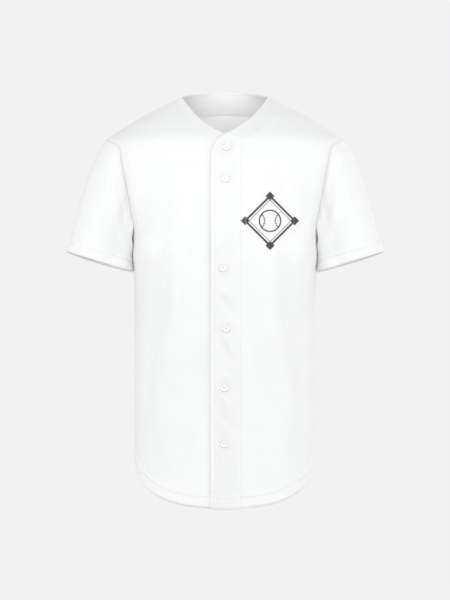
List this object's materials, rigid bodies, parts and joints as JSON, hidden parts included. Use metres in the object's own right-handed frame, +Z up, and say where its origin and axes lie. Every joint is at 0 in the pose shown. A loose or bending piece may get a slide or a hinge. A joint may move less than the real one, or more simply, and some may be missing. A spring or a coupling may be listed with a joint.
{
  "type": "baseball jersey",
  "caption": "Short-sleeved, collarless V-neck jersey with a buttoned placket and curved hem, held open in its worn shape.",
  "frame": {"origin": "midway between the two neck points of the shoulder seams, where the wearer's shoulders hold the garment up", "axes": "+Z up along the wearer's back, -Y the way the front faces, +X toward the wearer's left"},
  "size_m": [0.5858, 0.2684, 0.7713],
  "materials": {
    "cloth": "white polyester knit, matt with a faint sheen",
    "button": "white four-hole buttons, moulded and lightly polished"
  },
  "bodies": {
    "root": {"back": "cloth", "front_right": "cloth", "front_left": "cloth", "placket": "cloth", "sleeve_right": "cloth", "sleeve_left": "cloth", "back_neck_facing": "cloth", "button_1": "button", "button_2": "button", "button_3": "button", "button_4": "button", "button_5": "button", "button_6": "button"}
  },
  "joints": []
}
